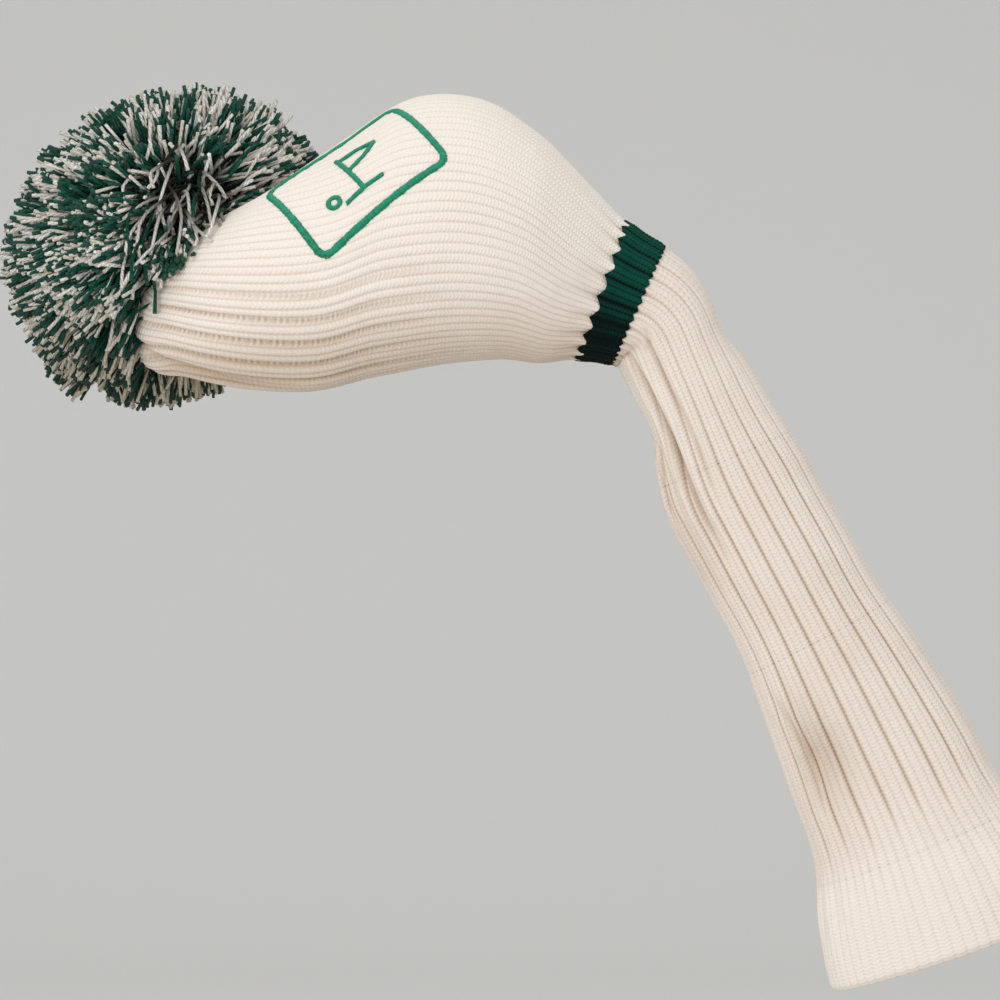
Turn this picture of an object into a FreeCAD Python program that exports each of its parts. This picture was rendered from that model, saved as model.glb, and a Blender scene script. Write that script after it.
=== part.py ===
"""Knitted driver head cover with a yarn pompom, held up on a club's head with its long sock hanging.

Row frame, millimetres, +Z up. The origin is the centre of the neck, where the green stripe closes round the
club's hosel. -X runs to the crown, the sock hangs towards +X and -Z, and the embroidery faces -Y.

The cover is one knitted tube. Its centreline runs from the gathered crown, through the padded head and the
neck, and down the ribbed sock to the hem. Every knitted piece is a length of that tube: a loft through oval
sections that stand square to the centreline. Pieces that lie inside one another use the same sections, taken
in by the thickness of what is outside them.
"""

import FreeCAD
import Part
import math
import os

V = FreeCAD.Vector

# ---- driving dimensions --------------------------------------------------------------------------------

# Head: the stuffed part that holds the club's head, from the stripe's upper edge to the crown.
HEAD_LENGTH = 149.0
HEAD_HEIGHT = 100.0  # at its fullest, across the face of the club's head
HEAD_DEPTH = 88.0  # at its fullest, front to back
HEAD_BELLY = 26.0  # how far the fullest section's middle rises above the neck's
CROWN_TURN = 15.0  # how far the gathered crown turns to the back

# Neck: the green stripe.
NECK_HEIGHT = 52.0
NECK_DEPTH = 45.0
STRIPE_WIDTH = 13.0
NECK_PITCH = 22.0  # degrees below level at which the neck points

# Sock: from the stripe's lower edge to the hem.
SOCK_LENGTH = 221.0
SOCK_TOP_HEIGHT = 46.0
SOCK_TOP_DEPTH = 42.0
SOCK_WAIST_HEIGHT = 43.0  # under the fold
SOCK_WAIST_DEPTH = 36.0
SOCK_HEIGHT = 53.0  # where it sags most, and the tube hangs nearly flat
SOCK_DEPTH = 32.0
SOCK_END_HEIGHT = 70.0
SOCK_END_DEPTH = 33.0
SOCK_PITCH = 64.0  # degrees below level at which the sock hangs
SOCK_SAG = 3.0  # degrees steeper that it hangs under the fold, before it swings back
FOLD_LENGTH = 44.0  # the soft stretch that folds under the neck
FOLD_TURN = 21.0  # how much of it turns; the rest runs straight
CURL_LENGTH = 30.0  # the soft stretch that curls in the sock's own plane
SWAY_LENGTH = 24.0  # the soft stretch that sways sideways
CURL_START = 88.0  # where the curl's soft stretch starts, down the sock
SWAY_START = 158.0

# Hem: the turned welt at the mouth.
HEM_LENGTH = 40.0
HEM_HEIGHT = 94.0
HEM_DEPTH = 42.0
HEM_PITCH = 71.0

# Cloth.
KNIT = 3.0  # thickness of the outer knit
LINING = 1.8
TURNED_HEM = 2.2  # the welt's turned-in layer
LAYER_GAP = 0.6  # between the knit and the lining, where the embroidery's backing lies
BODY_GAP = 0.3  # between pieces that move apart
ELASTIC = 1.2
ELASTIC_WIDTH = 8.0
TOUCH = 0.1  # between pieces that lie against each other

# Pompom and what holds it.
POMPOM_DIAMETER = 112.0
POMPOM_CORE = 8.0  # radius of the waist where the yarn is tied
POMPOM_STANDOFF = 25.0  # from the crown's outside to the pompom's middle
POMPOM_WRAP = 112.0  # degrees from the pompom's outward axis to which its pile wraps back
POMPOM_BUNDLES = 12  # wound bundles of yarn, alternately green and white
BUNDLE_GAP = 1.0  # degrees between bundles
TIE_DIAMETER = 3.0
CORD_DIAMETER = 2.8
CROWN_HOLE = 8.4
CROWN_RING = 13.0  # centreline diameter of the gathering thread's ring
CROWN_THREAD = 1.6
WASHER_DIAMETER = 16.0
WASHER = 1.6
WASHER_HOLE = 6.4
KNOT_DIAMETER = 10.0

# Embroidery: a framed flagstick on the upper front of the head.
PATCH_LENGTH = 57.0
PATCH_HEIGHT = 40.0
PATCH_CORNER = 6.0
BORDER_STROKE = 2.6
MOTIF_STROKE = 1.8
THREAD = 0.9  # how far the stitching stands proud of the knit
BACKING = 0.35
BACKING_MARGIN = 4.0

SECTION_POINTS = 16
STEP = 11.0  # greatest distance between sections down the sock


# ---- the tube's centreline and sections ----------------------------------------------------------------


class Section:
    """One oval section: its middle, the way the tube runs there, and its half height and half depth."""

    def __init__(self, middle, pitch, turn, height, depth, cap=0.0):
        p, q = math.radians(pitch), math.radians(turn)
        self.middle = middle
        self.along = V(math.cos(p) * math.cos(q), -math.sin(q), -math.sin(p) * math.cos(q))
        self.up = V(math.sin(p), 0, math.cos(p))
        self.out = self.along.cross(self.up)
        self.half_height = height / 2
        self.half_depth = depth / 2
        self.cap = cap  # how much of an inset goes along the tube, as near the closed crown

    def outline(self, inset):
        """Points round the outline, taken in by inset, or let out where inset is negative."""
        middle = self.middle + self.along * (inset * self.cap)
        points = []
        for i in range(SECTION_POINTS):
            t = 2 * math.pi * i / SECTION_POINTS
            points.append(
                middle
                + self.up * ((self.half_height - inset) * math.cos(t))
                + self.out * ((self.half_depth - inset) * math.sin(t))
            )
        return points


def head_sections():
    """From the crown to the stripe. Each row: share of the length from the neck, share of the crown's turn to
    the back, share of the belly's rise, pitch and turn in degrees, shares of the height and the depth, and
    how far the section belongs to the closed cap."""
    rows = (
        (1.000, 1.00, 0.36, 26, 48, 0.317, 0.33, 1.0),
        (0.955, 0.66, 0.17, 30, 38, 0.586, 0.56, 0.7),
        (0.895, 0.28, 0.22, 30, 24, 0.73, 0.70, 0.2),
        (0.800, 0.06, 0.36, 22, 10, 0.84, 0.84, 0.0),
        (0.663, 0.00, 0.52, 11, 0, 0.915, 0.95, 0.0),
        (0.497, 0.00, 0.85, 8, 0, 1.00, 1.00, 0.0),
        (0.348, 0.00, 0.92, 7, 0, 0.97, 0.97, 0.0),
        (0.206, 0.00, 0.74, 8, 0, 0.84, 0.86, 0.0),
    )
    start = stripe_sections()[0]
    made = []
    for along, aside, rise, pitch, turn, high, deep, cap in rows:
        middle = V(start.middle.x - along * HEAD_LENGTH, aside * CROWN_TURN, rise * HEAD_BELLY)
        made.append(Section(middle, pitch, turn, high * HEAD_HEIGHT, deep * HEAD_DEPTH, cap))
    shoulder = V(start.middle.x - 0.083 * HEAD_LENGTH, 0, 0.32 * HEAD_BELLY)
    made.append(
        Section(
            shoulder,
            (pitch + NECK_PITCH) / 2,
            0,
            0.28 * HEAD_HEIGHT + 0.72 * NECK_HEIGHT,
            0.28 * HEAD_DEPTH + 0.72 * NECK_DEPTH,
        )
    )
    return [*made, start]


def stripe_sections():
    """The stripe's two edges and its middle, which is the origin."""
    p = math.radians(NECK_PITCH)
    half = V(math.cos(p), 0, -math.sin(p)) * (STRIPE_WIDTH / 2)
    first = Section(half * -1, NECK_PITCH - 2, 0, NECK_HEIGHT, NECK_DEPTH)
    last = Section(half, NECK_PITCH + 2, 0, SOCK_TOP_HEIGHT, SOCK_TOP_DEPTH)
    middle_height = (NECK_HEIGHT + SOCK_TOP_HEIGHT) / 2 - 1
    middle_depth = (NECK_DEPTH + SOCK_TOP_DEPTH) / 2 - 1
    return [first, Section(V(0, 0, 0), NECK_PITCH, 0, middle_height, middle_depth), last]


def between(s, knots):
    """A value at s that eases from knot to knot. knots is a list of (place, value)."""
    for (s0, v0), (s1, v1) in zip(knots, knots[1:]):
        if s <= s1:
            t = max(0.0, (s - s0) / (s1 - s0))
            return v0 + (v1 - v0) * t * t * (3 - 2 * t)
    return knots[-1][1]


def sock_section(s):
    """The section at a distance s down the sock from the stripe."""
    end = SOCK_LENGTH + HEM_LENGTH
    steep, swing = SOCK_PITCH + SOCK_SAG, SOCK_PITCH - 0.7 * SOCK_SAG
    pitches = [
        (0, NECK_PITCH + 2),
        (FOLD_TURN, steep),
        (0.27 * SOCK_LENGTH, steep),
        (0.40 * SOCK_LENGTH, swing),
        (0.60 * SOCK_LENGTH, swing),
        (0.80 * SOCK_LENGTH, SOCK_PITCH),
        (end, HEM_PITCH),
    ]
    waist = 0.9 * FOLD_LENGTH
    heights = [
        (0, SOCK_TOP_HEIGHT),
        (waist, SOCK_WAIST_HEIGHT),
        (0.37 * SOCK_LENGTH, SOCK_HEIGHT),
        (0.52 * SOCK_LENGTH, SOCK_HEIGHT + 0.08 * (SOCK_END_HEIGHT - SOCK_HEIGHT)),
        (0.9 * SOCK_LENGTH, SOCK_END_HEIGHT),
        (end, HEM_HEIGHT),
    ]
    depths = [
        (0, SOCK_TOP_DEPTH),
        (waist, SOCK_WAIST_DEPTH),
        (0.37 * SOCK_LENGTH, SOCK_DEPTH),
        (0.52 * SOCK_LENGTH, SOCK_DEPTH + 0.08 * (SOCK_END_DEPTH - SOCK_DEPTH)),
        (0.9 * SOCK_LENGTH, SOCK_END_DEPTH),
        (end, HEM_DEPTH),
    ]
    place = stripe_sections()[-1].middle
    steps = max(1, round(s))
    for i in range(steps):
        p = math.radians(between(s * (i + 0.5) / steps, pitches))
        place = place + V(math.cos(p), 0, -math.sin(p)) * (s / steps)
    return Section(place, between(s, pitches), 0, between(s, heights), between(s, depths))


def sock_sections(start, end):
    count = max(4, math.ceil((end - start) / STEP) + 1)
    return [sock_section(start + (end - start) * i / (count - 1)) for i in range(count)]


def solid_loft(sections, inset):
    """A solid tube through the sections: a cubic surface, closed round and flat at both ends."""
    places = [0.0]
    for one, two in zip(sections, sections[1:]):
        grown = abs(two.half_height - one.half_height)
        places.append(places[-1] + (two.middle - one.middle).Length + grown)
    # A closed cubic runs this much inside its poles, when they lie on a circle.
    spread = 3 / (2 + math.cos(2 * math.pi / SECTION_POINTS))
    rings = []
    for section in sections:
        outline = section.outline(inset)
        centre = sum(outline, V(0, 0, 0)) * (1 / SECTION_POINTS)
        rings.append([centre + (p - centre) * spread for p in outline])
    lines = []
    for line in zip(*rings):
        curve = Part.BSplineCurve()
        curve.interpolate(Points=list(line), Parameters=places)
        lines.append(curve)
    first = lines[0]
    surface = Part.BSplineSurface()
    surface.buildFromPolesMultsKnots(
        [list(row) for row in zip(*(line.getPoles() for line in lines))],
        first.getMultiplicities(),
        [1] * (SECTION_POINTS + 1),
        first.getKnots(),
        list(range(SECTION_POINTS + 1)),
        False,
        True,
        first.Degree,
        3,
    )
    side = surface.toShape()
    ends = [Part.Face(Part.Wire([e])) for e in side.Edges if e.isClosed() and not e.isSeam(side)]
    if len(ends) != 2:
        raise RuntimeError(f"a loft has {len(ends)} ends")
    shell = Part.Shell([side, *ends])
    shell.sewShape()
    solid = Part.Solid(shell)
    if solid.Volume < 0:
        solid.reverse()
    return solid


def layer(sections, outside, thickness):
    """A layer of cloth whose outer face lies outside mm under the tube's surface."""
    return solid_loft(sections, outside).cut(solid_loft(sections, outside + thickness))


# ---- the crown -----------------------------------------------------------------------------------------


def crown():
    """(point on the crown's outside at its middle, the way out of the cover there)."""
    cap = head_sections()[0]
    return cap.middle, cap.along * -1


def disc(place, axis, diameter, thickness):
    return Part.makeCylinder(diameter / 2, thickness, place, axis)


def crown_hole():
    place, out = crown()
    inside = KNIT + LAYER_GAP + LINING + 5
    return disc(place - out * inside, out, CROWN_HOLE, inside + 5)


def head_shell():
    return layer(head_sections(), 0, KNIT).cut(crown_hole())


def lining_inset():
    return KNIT + LAYER_GAP


def lining_sections():
    """The head's sections, with the last moved back so that the lining stops short of the elastic."""
    sections = head_sections()
    end = sections[-1]
    end.middle = end.middle - end.along * TOUCH
    return sections


def head_lining():
    return layer(lining_sections(), lining_inset(), LINING).cut(crown_hole())


def gather_thread():
    place, out = crown()
    return Part.makeTorus(CROWN_RING / 2, CROWN_THREAD / 2, place + out * (CROWN_THREAD / 2 + TOUCH), out)


def washer_face():
    """The middle of the washer's inner face, which the knot pulls against."""
    place, out = crown()
    return place - out * (lining_inset() + LINING + BODY_GAP + WASHER)


def crown_washer():
    _, out = crown()
    blank = disc(washer_face(), out, WASHER_DIAMETER, WASHER)
    return blank.cut(disc(washer_face() - out, out, WASHER_HOLE, WASHER + 2))


def knot_middle():
    """Where the pompom leans from: the knot turns in the washer like a ball in a cup."""
    _, out = crown()
    return washer_face() - out * (KNOT_DIAMETER / 2 + BODY_GAP)


def anchor_knot():
    _, out = crown()
    middle = knot_middle()
    ball = Part.makeSphere(KNOT_DIAMETER / 2, middle)
    return ball.cut(disc(middle, out, CORD_DIAMETER + 2 * TOUCH, KNOT_DIAMETER))


def anchor_cord():
    _, out = crown()
    start = knot_middle() + out * TOUCH
    length = (pompom_middle() - start).dot(out) - TIE_DIAMETER / 2 - TOUCH
    return disc(start, out, CORD_DIAMETER, length)


# ---- the pompom ----------------------------------------------------------------------------------------


def pompom_middle():
    place, out = crown()
    return place + out * POMPOM_STANDOFF


def bundle_blank(sweep):
    """One wound bundle of yarn, from the waist to the cut ends, swept about the pompom's axis."""
    middle, (_, out) = pompom_middle(), crown()
    side = out.cross(V(0, 0, 1)).normalize()
    spare = 1.0  # radius left clear round the axis

    def at(radius, degrees):
        t = math.radians(degrees)
        return middle + out * (radius * math.cos(t)) + side * (radius * math.sin(t))

    def first(radius):
        return math.degrees(math.asin(spare / radius))

    def arc(radius):
        start, end = first(radius), POMPOM_WRAP
        return Part.Arc(at(radius, start), at(radius, (start + end) / 2), at(radius, end)).toShape()

    tip = POMPOM_DIAMETER / 2
    edges = [
        arc(POMPOM_CORE),
        Part.LineSegment(at(POMPOM_CORE, POMPOM_WRAP), at(tip, POMPOM_WRAP)).toShape(),
        arc(tip),
        Part.LineSegment(at(tip, first(tip)), at(POMPOM_CORE, first(POMPOM_CORE))).toShape(),
    ]
    return Part.Face(Part.Wire(Part.__sortEdges__(edges))).revolve(middle, out, sweep)


def pompom_yarn(colour):
    """Every second bundle: 0 for the green ones and 1 for the white ones."""
    pitch = 360 / POMPOM_BUNDLES
    blank = bundle_blank(pitch - BUNDLE_GAP)
    _, out = crown()
    made = []
    for k in range(colour, POMPOM_BUNDLES, 2):
        bundle = blank.copy()
        bundle.rotate(pompom_middle(), out, k * pitch)
        made.append(bundle)
    return Part.makeCompound(made)


def pompom_tie():
    """The binding cord round the waist of the yarn."""
    _, out = crown()
    radius = POMPOM_CORE - TIE_DIAMETER / 2 - BODY_GAP
    ring = Part.makeTorus(radius, TIE_DIAMETER / 2, pompom_middle(), out)
    bar = disc(pompom_middle() - out * (TIE_DIAMETER / 2), out, 2 * radius, TIE_DIAMETER)
    return ring.fuse(bar)


# ---- the neck, the sock and the hem --------------------------------------------------------------------


def neck_stripe():
    return layer(stripe_sections(), 0, KNIT)


def neck_elastic():
    """A band against the stripe's inside, in the middle of its width."""
    first, middle, last = stripe_sections()
    share = ELASTIC_WIDTH / STRIPE_WIDTH
    ends = []
    for edge, pitch in ((first, NECK_PITCH - 2), (last, NECK_PITCH + 2)):
        height = middle.half_height + (edge.half_height - middle.half_height) * share
        depth = middle.half_depth + (edge.half_depth - middle.half_depth) * share
        ends.append(Section(edge.middle * share, pitch, 0, 2 * height, 2 * depth))
    return layer([ends[0], middle, ends[1]], KNIT + 3 * TOUCH, ELASTIC)


def sock_pieces():
    """Each length of the sock by name: three rigid lengths, and the soft stretches between them."""
    curl_end = CURL_START + CURL_LENGTH
    sway_end = SWAY_START + SWAY_LENGTH
    spans = {
        "sock_neck_fold": (BODY_GAP, FOLD_LENGTH - BODY_GAP),
        "sock_upper": (FOLD_LENGTH, CURL_START),
        "sock_curl_stretch": (CURL_START + BODY_GAP, curl_end - BODY_GAP),
        "sock_middle": (curl_end, SWAY_START),
        "sock_sway_stretch": (SWAY_START + BODY_GAP, sway_end - BODY_GAP),
        "sock_lower": (sway_end, SOCK_LENGTH),
    }
    return {name: layer(sock_sections(*span), 0, KNIT) for name, span in spans.items()}


def hem_outer():
    return layer(sock_sections(SOCK_LENGTH, SOCK_LENGTH + HEM_LENGTH), 0, KNIT)


def hem_turned():
    return layer(
        sock_sections(SOCK_LENGTH + 1, SOCK_LENGTH + HEM_LENGTH - 1), KNIT + TOUCH, TURNED_HEM
    )


def hem_stitches():
    """Short stitches round the turned hem's upper edge, one to a rib."""
    section = sock_section(SOCK_LENGTH + 5)
    inset = KNIT + TOUCH + TURNED_HEM + 1.35
    made = []
    for i in range(22):
        t = 2 * math.pi * i / 22
        high, deep = section.half_height - inset, section.half_depth - inset
        place = section.middle + section.up * (high * math.cos(t)) + section.out * (deep * math.sin(t))
        made.append(Part.makeCylinder(0.35, 5, place - section.along * 2.5, section.along))
    return Part.makeCompound(made)


# ---- the embroidery ------------------------------------------------------------------------------------


class Patch:
    """The flat the embroidery is drawn on, before it is laid on the head: its middle and directions."""

    def __init__(self):
        full = head_sections()[5]
        self.normal = V(-0.10, -0.85, 0.52).normalize()
        self.length = V(0.835, 0.238, 0.55)
        self.length = (self.length - self.normal * self.length.dot(self.normal)).normalize()
        self.height = self.normal.cross(self.length)
        self.middle = full.middle + V(-9.2, 0.13 * full.half_depth, -4) + self.normal * full.half_depth

    def at(self, x, y):
        """A point on the flat, x along its length and y up its height from its middle."""
        return self.middle + self.length * x + self.height * y

    def prism(self, points):
        """A prism through the head's front wall, with this outline."""
        corners = [self.at(*p) - self.normal * 26 for p in points]
        face = Part.Face(Part.makePolygon([*corners, corners[0]]))
        return face.extrude(self.normal * 60)


def rounded(length, height, corner):
    """The outline of a rectangle with rounded corners, as points about its middle."""
    points = []
    for cx, cy, start in ((1, 1, 0), (-1, 1, 90), (-1, -1, 180), (1, -1, 270)):
        for k in range(5):
            t = math.radians(start + 22.5 * k)
            points.append(
                (
                    cx * (length / 2 - corner) + corner * math.cos(t),
                    cy * (height / 2 - corner) + corner * math.sin(t),
                )
            )
    return points


def stroke(start, end, width):
    """A straight stitched line from start to end, as the outline of a bar."""
    dx, dy = end[0] - start[0], end[1] - start[1]
    long = math.hypot(dx, dy)
    nx, ny = -dy / long * width / 2, dx / long * width / 2
    return [
        (start[0] + nx, start[1] + ny),
        (end[0] + nx, end[1] + ny),
        (end[0] - nx, end[1] - ny),
        (start[0] - nx, start[1] - ny),
    ]


def laid_on_head(prism, inset, thickness):
    """What a prism cuts out of a layer that follows the head, inset mm under its surface."""
    return prism.common(layer(head_sections(), inset, thickness))


def embroidery_border():
    patch = Patch()
    ring = patch.prism(rounded(PATCH_LENGTH, PATCH_HEIGHT, PATCH_CORNER)).cut(
        patch.prism(
            rounded(
                PATCH_LENGTH - 2 * BORDER_STROKE,
                PATCH_HEIGHT - 2 * BORDER_STROKE,
                PATCH_CORNER - BORDER_STROKE,
            )
        )
    )
    return laid_on_head(ring, -THREAD - 0.05, THREAD)


def embroidery_motif():
    """A flagstick with its pennant, and a ball beside it."""
    patch = Patch()
    tall = 0.475 * PATCH_HEIGHT
    foot, top = (-2, -tall / 2), (-2, tall / 2)
    fly, hoist = (12, tall / 2 - 4), (-2, tall / 2 - 8)
    bars = [
        stroke(foot, top, MOTIF_STROKE),
        stroke((top[0] + 1, top[1] - 0.9), fly, MOTIF_STROKE),
        stroke(fly, (hoist[0] + 1, hoist[1]), MOTIF_STROKE),
        stroke((-10, foot[1]), (6, foot[1]), MOTIF_STROKE),
    ]
    shape = patch.prism(bars[0])
    for bar in bars[1:]:
        shape = shape.fuse(patch.prism(bar))
    ball = patch.prism(rounded(6, 6, 2.99)).cut(patch.prism(rounded(2.8, 2.8, 1.39)))
    ball.translate(patch.length * -13 + patch.height * (foot[1] + 3.6))
    return laid_on_head(shape.fuse(ball), -THREAD - 0.05, THREAD)


def embroidery_backing():
    patch = Patch()
    outline = rounded(PATCH_LENGTH + 2 * BACKING_MARGIN, PATCH_HEIGHT + 2 * BACKING_MARGIN, PATCH_CORNER)
    return laid_on_head(patch.prism(outline), KNIT + TOUCH, BACKING)


# ---- build ---------------------------------------------------------------------------------------------


def main():
    os.makedirs("parts", exist_ok=True)
    nodes = {
        "head_shell": head_shell(),
        "head_lining": head_lining(),
        "crown_gather_thread": gather_thread(),
        "crown_washer": crown_washer(),
        "anchor_knot": anchor_knot(),
        "anchor_cord": anchor_cord(),
        "pompom_tie": pompom_tie(),
        "pompom_green_yarn": pompom_yarn(0),
        "pompom_white_yarn": pompom_yarn(1),
        "neck_stripe": neck_stripe(),
        "neck_elastic": neck_elastic(),
        **sock_pieces(),
        "hem_outer": hem_outer(),
        "hem_turned": hem_turned(),
        "hem_stitches": hem_stitches(),
        "embroidery_border": embroidery_border(),
        "embroidery_motif": embroidery_motif(),
        "embroidery_backing": embroidery_backing(),
    }
    for name, shape in nodes.items():
        shape.exportStep(f"parts/{name}.step")
        box = shape.BoundBox
        print(
            name,
            "solids",
            len(shape.Solids),
            "valid",
            shape.isValid(),
            "cm3",
            round(shape.Volume / 1000, 2),
            "x",
            round(box.XMin, 1),
            round(box.XMax, 1),
            "y",
            round(box.YMin, 1),
            round(box.YMax, 1),
            "z",
            round(box.ZMin, 1),
            round(box.ZMax, 1),
        )


if __name__ == "__main__":
    main()
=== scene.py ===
"""A knitted driver head cover with a yarn pompom, laid out as an add-on and run as a script.

The cover is one knitted tube: a gathered crown, a bulb that the club's head fills, a green striped neck, a
ribbed sock that folds under the neck and hangs, and a plain turned hem. Lengths are in metres, +Z is up, the
sock hangs towards +X and the embroidered side faces -Y. The origin is the middle of the stripe.

Each knitted piece starts as a grid that is wrapped round the tube: columns run round it, rows run along it,
and the last row comes back inside to the first, so that the cloth has two faces and closed edges.
"""

import math
import random

import bpy
import numpy as np
from bpy.props import FloatProperty, FloatVectorProperty, IntProperty, PointerProperty
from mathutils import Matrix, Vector
from mathutils.bvhtree import BVHTree


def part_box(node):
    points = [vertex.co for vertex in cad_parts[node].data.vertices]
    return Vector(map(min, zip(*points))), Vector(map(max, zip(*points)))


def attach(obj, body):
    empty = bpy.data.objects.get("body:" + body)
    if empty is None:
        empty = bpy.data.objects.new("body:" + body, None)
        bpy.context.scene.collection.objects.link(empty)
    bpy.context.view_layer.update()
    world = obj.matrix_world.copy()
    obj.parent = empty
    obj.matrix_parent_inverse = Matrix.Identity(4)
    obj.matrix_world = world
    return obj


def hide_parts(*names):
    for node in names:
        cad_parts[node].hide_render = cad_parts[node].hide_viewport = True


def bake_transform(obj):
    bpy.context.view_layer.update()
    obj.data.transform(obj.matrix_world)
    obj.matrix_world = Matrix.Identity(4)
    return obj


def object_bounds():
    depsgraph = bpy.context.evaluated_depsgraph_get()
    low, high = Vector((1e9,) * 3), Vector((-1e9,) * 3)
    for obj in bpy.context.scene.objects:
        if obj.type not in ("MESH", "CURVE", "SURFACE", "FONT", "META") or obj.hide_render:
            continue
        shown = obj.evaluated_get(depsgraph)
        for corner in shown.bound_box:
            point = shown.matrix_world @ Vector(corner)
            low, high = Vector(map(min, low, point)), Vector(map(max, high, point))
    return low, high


bl_info = {
    "name": "Knitted Driver Head Cover",
    "version": (1, 0, 0),
    "blender": (4, 5, 0),
    "location": "View3D > Sidebar > Head Cover",
    "description": "Builds a knitted driver head cover with a yarn pompom round its CAD frame",
    "category": "Object",
}

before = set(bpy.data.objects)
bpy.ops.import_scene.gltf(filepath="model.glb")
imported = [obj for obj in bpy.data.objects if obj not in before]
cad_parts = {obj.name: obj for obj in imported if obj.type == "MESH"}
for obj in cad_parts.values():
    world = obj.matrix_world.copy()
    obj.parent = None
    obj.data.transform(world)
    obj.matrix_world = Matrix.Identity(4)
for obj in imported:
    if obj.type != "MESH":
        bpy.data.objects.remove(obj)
CAD_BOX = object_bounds()
MM = 0.001
SEED = 7
WALL = 2.4 * MM  # of the cream knit


def size(name, description, default, least=0.0):
    """A length in metres."""
    return FloatProperty(
        name=name, description=description, default=default, min=least, unit="LENGTH", precision=5
    )


def position(name, description, default):
    """A place along an axis, in metres, on either side of zero."""
    return size(name, description, default, least=-1.0)


def whole_number(name, description, default, least):
    return IntProperty(name=name, description=description, default=default, min=least)


def angle(name, description, degrees):
    return FloatProperty(
        name=name, description=description, default=math.radians(degrees), subtype="ANGLE"
    )


def colour(name, description, rgb):
    return FloatVectorProperty(
        name=name, description=description, default=rgb, size=3, min=0, max=1, subtype="COLOR"
    )


# ---- what a user would change ---------------------------------------------------------------------------


class HeadSizes(bpy.types.PropertyGroup):
    length: size("Length", "From the stripe's upper edge to the crown", 0.149)
    height: size("Height", "Across the fullest section", 0.100)
    depth: size("Depth", "Front to back at the fullest section", 0.088)
    belly: size("Belly", "How far the fullest section rises above the neck", 0.026)
    crown_turn: size("Crown turn", "How far the crown turns to the back", 0.015)
    wales: whole_number("Wales", "Columns of stitches round the head", 84, 24)
    course: size("Course", "Height of one row of stitches", 0.0016)


class NeckSizes(bpy.types.PropertyGroup):
    height: size("Height", "Of the stripe's upper edge", 0.052)
    depth: size("Depth", "Of the stripe's upper edge", 0.045)
    width: size("Stripe width", "Along the tube", 0.013)
    pitch: angle("Pitch", "Below level at which the neck points", 22)
    teeth: whole_number("Teeth", "Ribs that interlock with the head along the edge", 21, 8)
    tooth: size("Tooth", "How far each tooth reaches into the cream knit", 0.0026)


class SockSizes(bpy.types.PropertyGroup):
    length: size("Length", "From the stripe's lower edge to the hem", 0.221)
    top_height: size("Top height", "At the stripe's lower edge", 0.046)
    top_depth: size("Top depth", "At the stripe's lower edge", 0.042)
    waist_height: size("Waist height", "Under the fold", 0.043)
    waist_depth: size("Waist depth", "Under the fold", 0.036)
    height: size("Height", "Where it sags most", 0.053)
    depth: size("Depth", "Where it sags most", 0.032)
    end_height: size("End height", "Just above the hem", 0.070)
    end_depth: size("End depth", "Just above the hem", 0.033)
    pitch: angle("Pitch", "Below level at which the sock hangs", 64)
    sag: angle("Sag", "How much steeper it hangs under the fold, before it swings back", 3)
    fold: size("Fold", "Length of the soft stretch under the neck", 0.044)
    fold_turn: size("Fold turn", "How much of the fold turns", 0.021)
    wales: whole_number("Wales", "Columns of stitches round the sock", 63, 24)
    rib_wales: whole_number("Rib", "Columns from one furrow to the next", 3, 2)
    course: size("Course", "Height of one row of stitches", 0.00141)
    furrow: size("Furrow", "Depth of the furrow between two ribs", 0.0013)


class HemSizes(bpy.types.PropertyGroup):
    length: size("Length", "Of the turned welt", 0.040)
    height: size("Height", "At the mouth", 0.094)
    depth: size("Depth", "At the mouth", 0.042)
    pitch: angle("Pitch", "Below level at which the mouth points", 71)


class PompomSizes(bpy.types.PropertyGroup):
    diameter: size("Diameter", "Across the trimmed ball", 0.112)
    strands: whole_number("Strands", "Cut lengths of yarn, before those over the crown go", 17000, 100)
    strand: size("Strand", "Thickness of one length of yarn", 0.00115)
    loose: whole_number("Loose strands", "Strands that droop out of the parting", 110, 0)
    ragged: size("Ragged", "How unevenly the ends are trimmed", 0.0042)


class EmbroiderySizes(bpy.types.PropertyGroup):
    length: size("Length", "Of the border", 0.057)
    height: size("Height", "Of the border", 0.040)
    corner: size("Corner", "Radius of the border's corners", 0.004)
    along: position("Along", "From the fullest section, along X", -0.0136)
    rise: position("Rise", "Above the fullest section's middle", 0.0189)
    border: size("Border", "Width of the border's satin stitch", 0.0024)
    motif: size("Motif", "Width of the motif's satin stitch", 0.0017)
    thread: size("Thread", "Thickness of the embroidery thread", 0.00042)


class CoverColours(bpy.types.PropertyGroup):
    # Each knit has a colour in the light and a painted shade colour, mixed in between stitches, in creases
    # and underneath.
    cream: colour("Cream", "The knit in the light", (0.870, 0.785, 0.700))
    cream_shade: colour("Cream shade", "Between the stitches", (0.43, 0.285, 0.165))
    green: colour("Green", "The stripe's knit", (0.0015, 0.072, 0.046))
    green_shade: colour("Green shade", "Between the stripe's stitches", (0.001, 0.006, 0.005))
    green_yarn: colour("Green yarn", "The pompom's green yarn", (0.003, 0.092, 0.057))
    white_yarn: colour("White yarn", "The pompom's white yarn", (0.90, 0.89, 0.85))
    embroidery: colour("Embroidery", "The satin stitch", (0.005, 0.37, 0.195))


class StudioSizes(bpy.types.PropertyGroup):
    distance: size("Distance", "From the camera to the cover", 1.2)
    across: position("Across", "Camera's place along X", -0.0432)
    height: position("Height", "Camera's height", -0.0727)
    lens: FloatProperty(name="Lens", description="Focal length in millimetres", default=120.0)


def made(name):
    """One of the cover's groups of sizes."""
    return getattr(bpy.context.scene, "cover_" + name)


# ---- the tube -------------------------------------------------------------------------------------------

# Columns of a table of rings: the middle's place, pitch, turn, half height and half depth.
MIDDLE, PITCH, TURN, HIGH, DEEP = slice(0, 3), 3, 4, 5, 6


def ease(t):
    t = np.clip(t, 0, 1)
    return t * t * (3 - 2 * t)


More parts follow.
